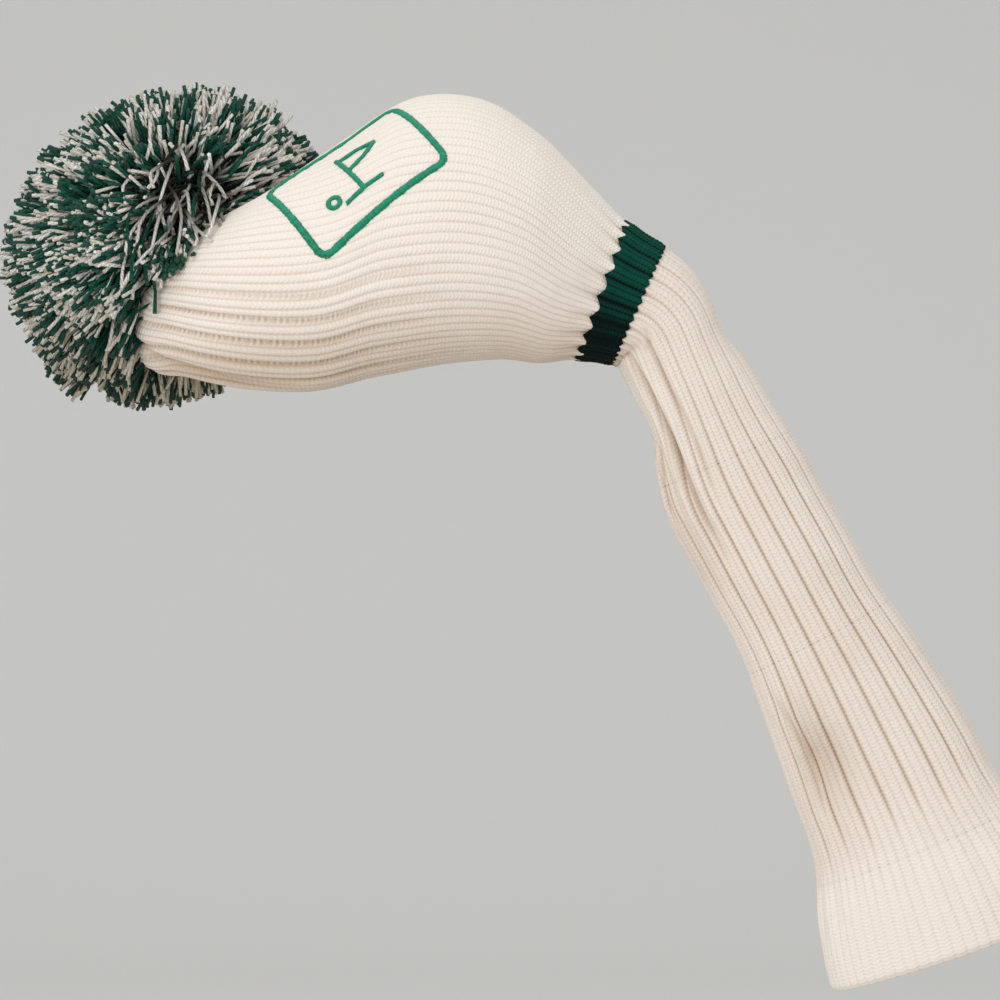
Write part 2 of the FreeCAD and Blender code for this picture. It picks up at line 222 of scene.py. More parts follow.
def eased(s, knots):
    """Values at s that ease from knot to knot."""
    at, values = zip(*knots)
    i = np.clip(np.searchsorted(at, s, side="right") - 1, 0, len(at) - 2)
    at, values = np.array(at), np.array(values)
    return values[i] + (values[i + 1] - values[i]) * ease((s - at[i]) / (at[i + 1] - at[i]))


def head_rings():
    """The head's rings from the edge of the crown's hole to the middle of the stripe."""
    head, neck = made("head"), made("neck")
    edge = stripe_rings()[0]
    # Share of the length, of the crown's turn aside and of the belly's rise; pitch and turn in degrees; and
    # shares of the full height and depth.
    rows = (
        (1.000, 1.00, 0.36, 26, 48, 0.317, 0.33),
        (0.955, 0.66, 0.17, 30, 38, 0.586, 0.56),
        (0.895, 0.28, 0.22, 30, 24, 0.73, 0.70),
        (0.800, 0.06, 0.36, 22, 10, 0.84, 0.84),
        (0.663, 0.00, 0.52, 11, 0, 0.915, 0.95),
        (0.497, 0.00, 0.85, 8, 0, 1.00, 1.00),
        (0.348, 0.00, 0.92, 7, 0, 0.97, 0.97),
        (0.206, 0.00, 0.74, 8, 0, 0.84, 0.86),
    )
    rings = [
        [edge[0] - along * head.length, aside * head.crown_turn, rise * head.belly]
        + [math.radians(pitch), math.radians(turn), high * head.height / 2, deep * head.depth / 2]
        for along, aside, rise, pitch, turn, high, deep in rows
    ]
    # The last ring before the stripe is partway from the head's own size to the neck's.
    full = 0.28
    high = full * head.height + (1 - full) * neck.height
    deep = full * head.depth + (1 - full) * neck.depth
    pitch = (rings[-1][PITCH] + neck.pitch) / 2
    rings.append([edge[0] - 0.083 * head.length, 0, 0.32 * head.belly, pitch, 0, high / 2, deep / 2])
    crown = rings[0]
    flat = [[*crown[:5], share * crown[HIGH], share * crown[DEEP]] for share in (0.29, 0.62)]
    return np.array([*flat, *rings, *stripe_rings()[:2]])


def stripe_rings():
    """The stripe's upper edge, middle and lower edge."""
    neck, sock = made("neck"), made("sock")
    lean = math.radians(2)
    waist = MM  # how much narrower the elastic draws the stripe's middle
    step = np.array([math.cos(neck.pitch), 0, -math.sin(neck.pitch)]) * neck.width / 2
    middle = ((neck.height + sock.top_height) / 2 - waist, (neck.depth + sock.top_depth) / 2 - waist)
    return np.array(
        [
            [*-step, neck.pitch - lean, 0, neck.height / 2, neck.depth / 2],
            [0, 0, 0, neck.pitch, 0, middle[0] / 2, middle[1] / 2],
            [*step, neck.pitch + lean, 0, sock.top_height / 2, sock.top_depth / 2],
        ]
    )


def along_rings(rings, step):
    """Rings a step apart through a table of rings, and each one's distance from the first along the cloth."""
    lengths = np.linalg.norm(np.diff(rings[:, MIDDLE], axis=0), axis=1) + np.abs(np.diff(rings[:, HIGH]))
    places = np.concatenate([[0], np.cumsum(lengths)])
    slopes = np.gradient(rings, places, axis=0)
    s = np.linspace(0, places[-1], max(3, round(places[-1] / step) + 1))
    i = np.clip(np.searchsorted(places, s, side="right") - 1, 0, len(places) - 2)
    h = (places[i + 1] - places[i])[:, None]
    t = ((s - places[i])[:, None]) / h
    smooth = (
        (1 + 2 * t) * (1 - t) ** 2 * rings[i]
        + t * (1 - t) ** 2 * h * slopes[i]
        + t * t * (3 - 2 * t) * rings[i + 1]
        + t * t * (t - 1) * h * slopes[i + 1]
    )
    return smooth, s


def sock_rings(s):
    """The rings at distances s down the sock from the stripe's lower edge; s may start a little above it."""
    sock, hem, neck = made("sock"), made("hem"), made("neck")
    end = sock.length + hem.length
    top = stripe_rings()[-1]
    steep, swing = sock.pitch + sock.sag, sock.pitch - 0.7 * sock.sag
    pitches = [
        (0, top[PITCH]),
        (sock.fold_turn, steep),
        (0.27 * sock.length, steep),
        (0.40 * sock.length, swing),
        (0.60 * sock.length, swing),
        (0.80 * sock.length, sock.pitch),
        (end, hem.pitch),
    ]
    fine = np.linspace(-0.01, end + 0.01, 1200)
    pitch = eased(np.clip(fine, 0, end), pitches)
    step = fine[1] - fine[0]
    run = np.cumsum(np.stack([np.cos(pitch), 0 * pitch, -np.sin(pitch)], 1), axis=0) * step
    start = np.array([np.interp(0, fine, run[:, k]) for k in range(3)])
    places = np.stack([np.interp(s, fine, run[:, k]) for k in range(3)], 1) - start + top[MIDDLE]

    def across(over, waist, half, late, mouth):
        knots = [
            (0, over),
            (0.9 * sock.fold, waist),
            (0.37 * sock.length, half),
            (0.52 * sock.length, half + 0.08 * (late - half)),
            (0.9 * sock.length, late),
            (end, mouth),
        ]
        return eased(np.clip(s, 0, end), knots) / 2

    high = across(sock.top_height, sock.waist_height, sock.height, sock.end_height, hem.height)
    deep = across(sock.top_depth, sock.waist_depth, sock.depth, sock.end_depth, hem.depth)
    return np.column_stack([places, np.interp(s, fine, pitch), 0 * s, high, deep])


def unit(v):
    """Each row of v, a unit long."""
    return v / np.maximum(np.linalg.norm(v, axis=-1, keepdims=True), 1e-12)


def wrap(rings, columns, inset=0.0):
    """Points round each ring. Columns start at the back, and go over the top, the front and the bottom."""
    pitch, turn = rings[:, PITCH, None], rings[:, TURN, None]
    along = np.concatenate([np.cos(pitch) * np.cos(turn), -np.sin(turn), -np.sin(pitch) * np.cos(turn)], 1)
    up = np.concatenate([np.sin(pitch), 0 * pitch, np.cos(pitch)], 1)
    out = np.cross(along, up)
    t = 2 * math.pi * np.arange(columns + 1) / columns - math.pi / 2
    high = ((rings[:, HIGH] - inset)[:, None] * np.cos(t))[..., None]
    deep = ((rings[:, DEEP] - inset)[:, None] * np.sin(t))[..., None]
    return rings[:, None, MIDDLE] + up[:, None, :] * high + out[:, None, :] * deep


def outward(points):
    """The direction out of the cloth at each point of a wrapped grid."""
    round_it = np.roll(points[:, :-1], -1, axis=1) - np.roll(points[:, :-1], 1, axis=1)
    round_it = np.concatenate([round_it, round_it[:, :1]], axis=1)
    return unit(np.cross(round_it, np.gradient(points, axis=0)))


# ---- making pieces --------------------------------------------------------------------------------------


def deselect():
    if bpy.context.object is not None and bpy.context.object.mode != "OBJECT":
        bpy.ops.object.mode_set(mode="OBJECT")
    bpy.ops.object.select_all(action="DESELECT")


def stitch_uv(wale, rows):
    """The wale and the course at each point of a grid."""
    return np.stack(np.broadcast_arrays(wale[None, :], rows[:, None]), -1)


def head_surface():
    """The head's knit, to lay other pieces on."""
    bpy.context.view_layer.update()
    return BVHTree.FromObject(bpy.data.objects["knit_head"], bpy.context.evaluated_depsgraph_get())


def cloth_from_grid(name, points, wale_and_course, shadow=None):
    """A grid with these points, its doubled edges merged, and the stitch each point stands at as its UV."""
    rows, columns = points.shape[:2]
    deselect()
    bpy.ops.mesh.primitive_grid_add(x_subdivisions=columns - 1, y_subdivisions=rows - 1, size=1)
    piece = bpy.context.object
    piece.name = piece.data.name = name
    mesh = piece.data
    if len(mesh.vertices) != rows * columns:
        raise RuntimeError(f"{name}: the grid has {len(mesh.vertices)} points, not {rows * columns}")
    corners = np.empty(len(mesh.loops), dtype=np.int32)
    mesh.loops.foreach_get("vertex_index", corners)
    uv = wale_and_course.reshape(-1, 2)[corners]
    mesh.uv_layers.active.data.foreach_set("uv", uv.ravel().astype(np.float32))
    mesh.vertices.foreach_set("co", points.reshape(-1, 3).ravel().astype(np.float32))
    if shadow is not None:
        layer = mesh.attributes.new("shadow", "FLOAT", "POINT")
        layer.data.foreach_set("value", shadow.ravel().astype(np.float32))
    mesh.update()
    bpy.ops.object.mode_set(mode="EDIT")
    bpy.ops.mesh.select_all(action="SELECT")
    bpy.ops.mesh.remove_doubles(threshold=1e-6)
    bpy.ops.object.mode_set(mode="OBJECT")
    bpy.ops.object.shade_smooth()
    return piece


def knit_tube(name, rings, s, wales, per_wale, course, relief, painted_shading, wall=WALL):
    """A knitted sleeve through the rings. relief(wale, s, wales) gives how far the cloth stands out at each
    point. The function after it, called the same way, gives how much shade or light is painted into the
    yarn's colour there. Painted shade on the underside and inside comes on top of that."""
    columns = wales * per_wale
    outer = wrap(rings, columns)
    wale = np.arange(columns + 1) / per_wale
    normal = outward(outer)
    height = relief(wale[None, :], s[:, None], wales)
    outer = outer + normal * height[..., None]
    # Painted shade on the underside, where the cloth faces down.
    under = 0.46 * ease((-normal[..., 2] - 0.35) / 0.75)
    shadow = np.clip(under + painted_shading(wale[None, :], s[:, None], wales), -0.2, 0.95)
    skip = max(1, round(8 * MM / (s[1] - s[0])))  # the inside needs fewer rows
    back = np.unique(np.append(np.arange(0, len(s), skip), len(s) - 1))[::-1]
    inner = wrap(rings[back], columns, inset=wall)
    inner = inner + normal[back] * height[back][..., None]
    points = np.concatenate([outer, inner, outer[:1]])
    rows = np.concatenate([s, s[back], s[:1]]) / course
    # The inside rows get a flat painted shade.
    shadow = np.concatenate([shadow, np.full(inner.shape[:2], 0.25), shadow[:1]])
    return cloth_from_grid(name, points, stitch_uv(wale, rows), shadow)


def strand_template(sides, rings):
    """The points and faces of one closed strand: a cylinder of unit radius cut into rings a unit apart."""
    deselect()
    bpy.ops.mesh.primitive_cylinder_add(
        vertices=sides, radius=1, depth=rings - 1, location=(0, 0, (rings - 1) / 2), end_fill_type="NGON"
    )
    strand = bpy.context.object
    bpy.ops.object.transform_apply(location=True)
    bpy.ops.object.mode_set(mode="EDIT")
    for k in range(1, rings - 1):
        bpy.ops.mesh.select_all(action="SELECT")
        bpy.ops.mesh.bisect(plane_co=(0, 0, k), plane_no=(0, 0, 1))
    bpy.ops.object.mode_set(mode="OBJECT")
    points = np.array([v.co[:] for v in strand.data.vertices])
    faces = [tuple(p.vertices) for p in strand.data.polygons]
    twist = []
    for face in faces:
        turn = np.arctan2(points[face, 1], points[face, 0]) / (2 * math.pi)
        twist.append(np.where(turn < turn.max() - 0.5, turn + 1, turn) if len(face) == 4 else 0 * turn)
    bpy.data.meshes.remove(strand.data)
    return points, faces, np.concatenate(twist)


def strands(name, paths, radii, shades, sides=5):
    """One piece of many strands. paths is strands x rings x 3 and radii strands x rings. Each strand's shade
    is kept as an attribute, and so is each ring's share of the way to the tip."""
    count, rings = paths.shape[:2]
    points, faces, twist = strand_template(sides, rings)
    ring = np.rint(points[:, 2]).astype(int)
    ahead = unit(np.gradient(paths, axis=1))
    whole = paths[:, -1] - paths[:, 0]
    level = np.abs(whole[:, :1]) > np.abs(whole[:, 2:])
    side = np.cross(whole, np.where(level, [[0, 0, 1.0]], [[1.0, 0, 0]]))[:, None, :]
    side = unit(side - ahead * np.sum(side * ahead, axis=2, keepdims=True))
    other = np.cross(ahead, side)
    off = points[:, 0, None] * side[:, ring] + points[:, 1, None] * other[:, ring]
    place = paths[:, ring] + radii[:, ring, None] * off
    corners = np.concatenate([np.array(f) for f in faces])
    totals = np.array([len(f) for f in faces])
    starts = np.concatenate([[0], np.cumsum(totals)[:-1]])
    offset = np.arange(count)[:, None]
    mesh = bpy.data.meshes.new(name)
    mesh.vertices.add(count * len(points))
    mesh.loops.add(count * len(corners))
    mesh.polygons.add(count * len(faces))
    mesh.vertices.foreach_set("co", place.reshape(-1).astype(np.float32))
    for rows, word, values in (
        (mesh.loops, "vertex_index", corners[None, :] + offset * len(points)),
        (mesh.polygons, "loop_start", starts[None, :] + offset * len(corners)),
        (mesh.polygons, "loop_total", np.tile(totals, count)),
    ):
        rows.foreach_set(word, values.ravel().astype(np.int32))
    mesh.update(calc_edges=True)
    lengths = np.linalg.norm(np.diff(paths, axis=1), axis=2)
    lengths = np.concatenate([np.zeros((count, 1)), np.cumsum(lengths, axis=1)], axis=1) / MM
    uv = np.stack([np.tile(twist, (count, 1)), lengths[:, ring[corners]]], -1)
    mesh.uv_layers.new(name="ply").data.foreach_set("uv", uv.ravel().astype(np.float32))
    for word, values in (
        ("shade", np.repeat(shades, len(points))),
        ("reach", np.tile(ring / (rings - 1), count)),
    ):
        mesh.attributes.new(word, "FLOAT", "POINT").data.foreach_set("value", values.astype(np.float32))
    piece = bpy.data.objects.new(name, mesh)
    bpy.context.collection.objects.link(piece)
    deselect()
    piece.select_set(True)
    bpy.context.view_layer.objects.active = piece
    bpy.ops.object.shade_smooth()
    return piece


def dress(piece, material, body=None, replaced=()):
    """Gives a piece its material, the body it rides on and the CAD nodes it stands for."""
    piece.data.materials.clear()
    piece.data.materials.append(material)
    if replaced:
        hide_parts(*replaced)
    if body:
        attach(piece, body)
    return piece


# ---- materials ------------------------------------------------------------------------------------------


class Nodes:
    """Adds shader nodes to a new material and joins them up."""

    def __init__(self, name, roughness, sheen=0.0, specular=0.3):
        self.material = bpy.data.materials.new(name)
        self.material.use_nodes = True
        self.tree = self.material.node_tree
        self.shader = self.tree.nodes["Principled BSDF"]
        self.shader.inputs["Roughness"].default_value = roughness
        self.shader.inputs["Sheen Weight"].default_value = sheen
        self.shader.inputs["Sheen Roughness"].default_value = 0.6
        self.shader.inputs["Specular IOR Level"].default_value = specular

    def join(self, value, socket):
        if isinstance(value, bpy.types.NodeSocket):
            self.tree.links.new(value, socket)
        elif value is not None:
            socket.default_value = value

    def node(self, kind, **settings):
        node = self.tree.nodes.new(kind)
        for key, value in settings.items():
            setattr(node, key, value)
        return node

    def maths(self, operation, a, b=None, c=None):
        node = self.node("ShaderNodeMath", operation=operation)
        for value, socket in zip((a, b, c), node.inputs):
            self.join(value, socket)
        return node.outputs[0]

    def plus(self, a, b):
        return self.maths("ADD", a, b)

    def times(self, a, b):
        return self.maths("MULTIPLY", a, b)

    def mix(self, share, a, b):
        node = self.node("ShaderNodeMix", data_type="RGBA")
        self.join(share, node.inputs[0])
        self.join((*a, 1) if isinstance(a, tuple) else a, node.inputs[6])
        self.join((*b, 1) if isinstance(b, tuple) else b, node.inputs[7])
        return node.outputs[2]

    def span(self, value, low, high, to_low=0.0, to_high=1.0):
        node = self.node("ShaderNodeMapRange")
        for v, socket in zip((value, low, high, to_low, to_high), node.inputs):
            self.join(v, socket)
        return node.outputs[0]

    def noise(self, scale, detail=2.0, vector=None, rough=0.5):
        node = self.node("ShaderNodeTexNoise")
        node.inputs["Scale"].default_value = scale
        node.inputs["Detail"].default_value = detail
        node.inputs["Roughness"].default_value = rough
        if vector is None:
            vector = self.node("ShaderNodeTexCoord").outputs["Object"]
        self.join(vector, node.inputs["Vector"])
        return node.outputs["Fac"]

    def attribute(self, name):
        return self.node("ShaderNodeAttribute", attribute_name=name).outputs["Fac"]

    def finish(self, colour, height, distance, strength=1.0):
        self.join((*colour, 1) if isinstance(colour, tuple) else colour, self.shader.inputs["Base Color"])
        bump = self.node("ShaderNodeBump")
        bump.inputs["Strength"].default_value = strength
        bump.inputs["Distance"].default_value = distance
        self.join(height, bump.inputs["Height"])
        self.join(bump.outputs[0], self.shader.inputs["Normal"])
        return self.material


def knit_material(name, light, shade, lines, dots, rib_wales=0, furrow=0.0, sheen=0.15):
    """Knit that follows the piece's UV: U counts wales and V counts courses. Every stitch is a V of two legs.
    lines paints shade into the gap between wales, dots into the gap between stitches, and furrow into one
    wale in each rib. The piece's shadow attribute adds the shade and light painted for each point."""
    n = Nodes(name, roughness=0.92, sheen=sheen, specular=0.12)
    uv = n.node("ShaderNodeUVMap")
    split = n.node("ShaderNodeSeparateXYZ")
    n.join(uv.outputs[0], split.inputs[0])
    wale, course = split.outputs[0], split.outputs[1]
    across = n.maths("FRACT", wale)
    # 0 in the wale's middle and 1 at its edge.
    leg = n.maths("ABSOLUTE", n.maths("MULTIPLY_ADD", across, 2.0, -1.0))
    wander = n.times(n.noise(0.35, 1.0, vector=uv.outputs[0]), 0.5)
    climb = n.plus(n.maths("MULTIPLY_ADD", leg, 0.55, wander), course)
    beat = n.maths("SINE", n.times(climb, 2 * math.pi))
    stitch = n.maths("MULTIPLY_ADD", beat, 0.5, 0.5)
    valley = n.maths("POWER", leg, 5.0)
    spine = n.maths("POWER", n.maths("SUBTRACT", 1.0, leg), 6.0)
    height = n.maths("SUBTRACT", stitch, n.times(valley, 1.6))
    height = n.maths("SUBTRACT", height, n.times(spine, 0.6))
    fibres = n.noise(1400.0, 3.0, rough=0.65)
    height = n.plus(height, n.times(fibres, 0.9))
    # Painted shade in the gaps between wales and between stitches.
    dark = n.times(valley, lines)
    gap = n.maths("POWER", n.maths("SUBTRACT", 1.0, stitch), 3.0)
    dark = n.maths("MAXIMUM", dark, n.times(gap, n.maths("MULTIPLY_ADD", leg, dots, 0.12 * dots)))
    if rib_wales:
        # Painted shade down one wale in each rib, fading where the ribbing fades.
        place = n.maths("FRACT", n.maths("DIVIDE", wale, float(rib_wales)))
        near = n.maths("MINIMUM", place, n.maths("SUBTRACT", 1.0, place))
        deep = n.times(n.span(near, 0.075, 0.015), n.attribute("ribbed"))
        rungs = n.maths("MULTIPLY_ADD", stitch, -0.35, 1.0)
        dark = n.maths("MAXIMUM", dark, n.times(n.times(deep, rungs), furrow))
    patchy = n.noise(28.0, 3.0)
    fleck = n.span(n.noise(900.0, 2.0, rough=0.7), 0.35, 0.75)
    dark = n.plus(dark, n.span(patchy, 0.35, 0.75, -0.05, 0.09))
    dark = n.plus(dark, n.times(fleck, 0.05))
    # The shade and light painted for each point of the piece, from its shadow attribute.
    shading_paint = n.attribute("shadow")
    dark = n.maths("MINIMUM", n.maths("MAXIMUM", n.plus(dark, shading_paint), 0.0), 1.0)
    return n.finish(n.mix(dark, tuple(light), tuple(shade)), height, 0.0004, 0.45)


def yarn_material(name, light, root, deep, tip_pale=0.0):
    """Loose yarn: each strand has a shade of its own. Painted shade darkens it towards the middle of the
    pompom, low down, and in the grooves between its plies.
    """
    n = Nodes(name, roughness=0.9, sheen=0.03, specular=0.08)
    shade, reach = n.attribute("shade"), n.attribute("reach")
    split = n.node("ShaderNodeSeparateXYZ")
    n.join(n.node("ShaderNodeUVMap").outputs[0], split.inputs[0])
    spun = n.maths("MULTIPLY_ADD", split.outputs[1], 1 / 2.4, n.times(split.outputs[0], 2.0))
    ply = n.maths("SINE", n.times(spun, 2 * math.pi))
    fibre = n.noise(1800.0, 3.0, rough=0.7)
    place = n.node("ShaderNodeSeparateXYZ")
    n.join(n.node("ShaderNodeTexCoord").outputs["Object"], place.inputs[0])
    base = n.mix(n.times(shade, 0.5), tuple(light), tuple(root))
    # Painted shade in the grooves between the plies.
    base = n.mix(n.span(ply, -0.2, -1.0, 0.0, 0.55), base, tuple(root))
    base = n.mix(n.span(fibre, 0.45, 0.75, 0.0, 0.4), base, tuple(root))
    # Painted shade low down on the pompom.
    base = n.mix(n.span(place.outputs[2], 0.004, -0.032, 0.0, 0.72), base, tuple(root))
    # Painted shade deep in the pompom, towards the tie.
    base = n.mix(n.span(reach, 0.90, 0.42, 0.0, 1.0), base, tuple(deep))
    base = n.mix(n.span(reach, 0.93, 1.0, 0.0, tip_pale), base, (0.75, 0.78, 0.70))
    return n.finish(base, n.maths("MULTIPLY_ADD", ply, 0.5, fibre), 0.0003, 0.9)


def thread_material(name, light, shade, roughness):
    """Spun thread, glossy where it lies flat."""
    n = Nodes(name, roughness=roughness, specular=0.5)
    ply = n.noise(2200.0, 2.0)
    tone = n.maths("MULTIPLY_ADD", n.attribute("shade"), 0.4, n.span(ply, 0.35, 0.7, 0.0, 0.35))
    return n.finish(n.mix(tone, tuple(light), tuple(shade)), ply, 0.00015, 0.6)


def felt_material(name, light, shade, scale=700.0):
    """Matted or brushed cloth, with a nap."""
    n = Nodes(name, roughness=0.95, sheen=0.4, specular=0.1)
    nap = n.noise(scale, 4.0, rough=0.7)
    return n.finish(n.mix(n.span(nap, 0.35, 0.7), tuple(light), tuple(shade)), nap, 0.0006, 0.7)


def webbing_material(name, light, shade):
    """Woven elastic: cords along the band and weft across it."""
    n = Nodes(name, roughness=0.8, sheen=0.2, specular=0.2)
    place = n.node("ShaderNodeTexCoord").outputs["Object"]
    wave = n.node("ShaderNodeTexWave", bands_direction="X")
    wave.inputs["Scale"].default_value = 260.0
    wave.inputs["Distortion"].default_value = 0.6
    n.join(place, wave.inputs["Vector"])
    weave = n.times(wave.outputs["Fac"], n.span(n.noise(1200.0, 2.0), 0.3, 0.7, 0.6, 1.0))
    return n.finish(n.mix(weave, tuple(shade), tuple(light)), weave, 0.0003, 0.7)


def material(name):
    """The cover's materials by name, each made when it is first asked for. The frame brings materials of its
    own, such as green_yarn, so none of these has a name of its."""
    if name in bpy.data.materials:
        return bpy.data.materials[name]
    tones, rib = made("colours"), made("sock").rib_wales
    cream, shade, green, white = tones.cream, tones.cream_shade, tones.green_yarn, tones.white_yarn
    makers = {
        "head_knit": (knit_material, cream, shade, 0.36, 0.26),
        "sock_knit": (knit_material, cream, shade, 0.14, 0.20, rib, 0.72),
        "stripe_knit": (knit_material, tones.green, tones.green_shade, 0.7, 0.7, 0, 0.0, 0.0),
        # Each yarn's colour, then a darker tone that also serves as painted shade low down and between the
        # plies, then the painted shade deep in the pompom, then how pale the cut ends go.
        "pompom_green": (yarn_material, green, (0.003, 0.018, 0.010), (0.0008, 0.005, 0.003), 0.03),
        "pompom_white": (yarn_material, white, (0.34, 0.27, 0.16), (0.025, 0.024, 0.015), 0.1),
        "embroidery_thread": (thread_material, tones.embroidery, (0.001, 0.13, 0.07), 0.4),
        "sewing_thread": (thread_material, cream, shade, 0.6),
        "cord_thread": (thread_material, white, shade, 0.7),
        "washer_felt": (felt_material, (0.75, 0.69, 0.6), (0.5, 0.43, 0.35)),
        "lining_fleece": (felt_material, (0.78, 0.73, 0.66), (0.55, 0.48, 0.4), 420.0),
        "neck_webbing": (webbing_material, (0.8, 0.78, 0.74), (0.45, 0.42, 0.38)),
    }
    maker, *values = makers[name]
    return maker(name, *values)


# ---- the knit's shape -----------------------------------------------------------------------------------


def bell(x, width):
    return np.exp(-((x / width) ** 2))


def wale_profile(wale, depth):
    """Each wale is a rounded cord with a groove down its middle."""
    w = wale % 1
    return depth * (np.abs(np.sin(math.pi * w)) - 0.75 - 0.18 * bell(w - 0.5, 0.16))


def uneven(turns, s, seed, scale_round, scale_along):
    """Smooth variation, from -1 to 1, that closes round the tube. turns is the share of a turn, 0 to 1."""
    rng = random.Random(seed)
    total = 0.0
    for k in range(1, 5):
        waves = max(1, round(scale_round * k * rng.uniform(0.7, 1.3)))
        phase, drift = rng.uniform(0, 6.28), rng.uniform(-1, 1)
        total = total + np.sin(2 * math.pi * waves * turns + phase + drift * s / scale_along) / k
        total = total + 0.6 * np.sin(s / scale_along * k * rng.uniform(0.8, 1.6) + phase * 2) / k
    return total / 2.6


def low_crown(turns, s):
    """Where the head's knit is furrowed: low down in front, from the crown to the belly."""
    along = ease((s - 0.022) / 0.03) * ease((0.165 - s) / 0.06)
    return along * ease((turns - 0.50) / 0.1) * ease((0.90 - turns) / 0.1)


def fold_line(turns, s):
    """The long soft fold from the tip, where the crown's corner hangs: 1 along it and 0 away from it."""
    middle = np.interp(s, [0.018, 0.034, 0.050, 0.075, 0.105], [0.655, 0.665, 0.700, 0.715, 0.712])
    return bell(turns - middle, 0.014) * ease((s - 0.014) / 0.012) * ease((0.108 - s) / 0.05)


def head_furrows(wale, s, turns):
    """How strong the head's furrows are, and how far each point is from the nearest one's middle, from -0.5
    to 0.5. A furrow comes every three wales and wanders a little."""
    wander = 0.5 * uneven(turns, s, 3, 3, 0.03)
    return low_crown(turns, s), ((wale + wander) / 3) % 1 - 0.5


def swell(turns, s, swellings):
    """Broad rises and hollows in the cloth."""
    total = 0.0
    for rise, at, length, where, width in swellings:
        total = total + rise * MM * bell(s - at, length) * bell(turns - where, width)
    return total


# Rise in millimetres, place and spread along the cloth, and place and spread as a share of a turn.
# The crown's lower corner hangs out past the pompom, and its upper edge sinks under the yarn.
HEAD_SWELLINGS = (
    (9.5, 0.030, 0.016, 0.70, 0.10),
    (-2.2, 0.022, 0.020, 0.40, 0.12),
    (1.6, 0.085, 0.035, 0.75, 0.10),
)
# The dent and the rise under it, the slack belly, and the fold's hollow with a rise after it.
SOCK_SWELLINGS = (
    (-3.4, 0.178, 0.012, 0.60, 0.045),
    (1.6, 0.200, 0.012, 0.63, 0.06),
    (1.8, 0.080, 0.024, 0.73, 0.10),
    (-5.0, 0.020, 0.013, 0.25, 0.15),
    (1.2, 0.055, 0.020, 0.25, 0.12),
    (-1.2, 0.044, 0.010, 0.76, 0.06),
)


def head_relief(wale, s, wales):
    """The head: wales all over, furrows that deepen low down by the crown, and gathers at both ends."""
    turns, to_neck = wale / wales, s[-1] - s
    low, off = head_furrows(wale, s, turns)
    h = wale_profile(wale, (0.32 + 0.34 * low + 0.2 * ease((turns - 0.42) / 0.2)) * MM)
    h = h - 1.9 * MM * low * (bell(off, 0.17) - 0.3)
    h = h - 3.0 * MM * fold_line(turns, s)
    teeth = np.cos(2 * math.pi * made("neck").teeth * turns) * (0.75 + 0.5 * uneven(turns, s, 5, 9, 0.02))
    h = h - 1.0 * MM * np.exp(-np.maximum(to_neck - 0.0075, 0) / 0.010) * teeth
    h = h + 1.1 * MM * np.exp(-to_neck / 0.03) * uneven(turns, s, 6, 7, 0.012)
    h = h + 1.1 * MM * np.exp(-s / 0.02) * np.sin(2 * math.pi * 14 * turns + uneven(turns, s, 8, 3, 0.01))
    h = h + 0.6 * MM * uneven(turns, s, 9, 2, 0.018) + swell(turns, s, HEAD_SWELLINGS)
    h = np.maximum(h, -2.8 * MM)  # any deeper, and the lining would show
    # The last rows tuck under the stripe.
    return h * ease((to_neck - 0.0045) / 0.002) - 1.3 * MM * ease((0.0072 - to_neck) / 0.0012)


def head_painted_shading(wale, s, wales):
    """Painted shade in the head's furrows, along the long fold and between the gathers by the stripe, and
    painted light on top.
    """
    turns = wale / wales
    low, off = head_furrows(wale, s, turns)
    rungs = 0.6 + 0.4 * np.sin(2 * math.pi * s / made("head").course)
    dark = 0.85 * low * bell(off, 0.10) * rungs + 0.30 * fold_line(turns, s)
    near = np.exp(-np.maximum(s[-1] - s - 0.0075, 0) / 0.009)
    dark = dark + 0.42 * near * ease((np.cos(2 * math.pi * made("neck").teeth * turns) - 0.25) / 0.75)
    # Painted light: paler on top, away from the furrows.
    return dark - 0.16 * bell(turns - 0.33, 0.2) * (1 - low)


def crease(turns, s, path, depth, width):
    """A long crease. path is a list of (distance down the sock, share of a turn), in order down the sock."""
    at, where = zip(*path)
    middle = np.interp(s, at, where)
    ends = ease((s - at[0]) / (0.25 * (at[-1] - at[0]))) * ease((at[-1] - s) / (0.35 * (at[-1] - at[0])))
    off = turns - middle
    return -depth * ends * (bell(off, width) - 0.5 * bell(np.abs(off) - 2.2 * width, 1.2 * width))


SOCK_CREASES = (
    ([(0.000, 0.535), (0.018, 0.575), (0.036, 0.570), (0.060, 0.556), (0.090, 0.552)], 1.5, 0.0085),
    ([(0.004, 0.655), (0.022, 0.640), (0.048, 0.622), (0.072, 0.606), (0.108, 0.600)], 2.9, 0.0105),
    ([(0.050, 0.672), (0.066, 0.690), (0.082, 0.688)], 2.6, 0.0100),
    ([(0.004, 0.93), (0.030, 0.90), (0.070, 0.91)], 2.0, 0.014),
    ([(0.146, 0.655), (0.172, 0.628), (0.202, 0.640)], 1.3, 0.011),
)


def ribbing(turns, s):
    """How deep the sock's furrows are: faint in the fold, full halfway down and gone at the hem. They end at
    slightly different heights."""
    end = made("sock").length + 0.008 * (turns - 0.5) + 0.003 * np.sin(2 * math.pi * 9.5 * turns)
    return ease((end - s) / 0.024) * (0.45 + 0.55 * ease((s - 0.02) / 0.07))


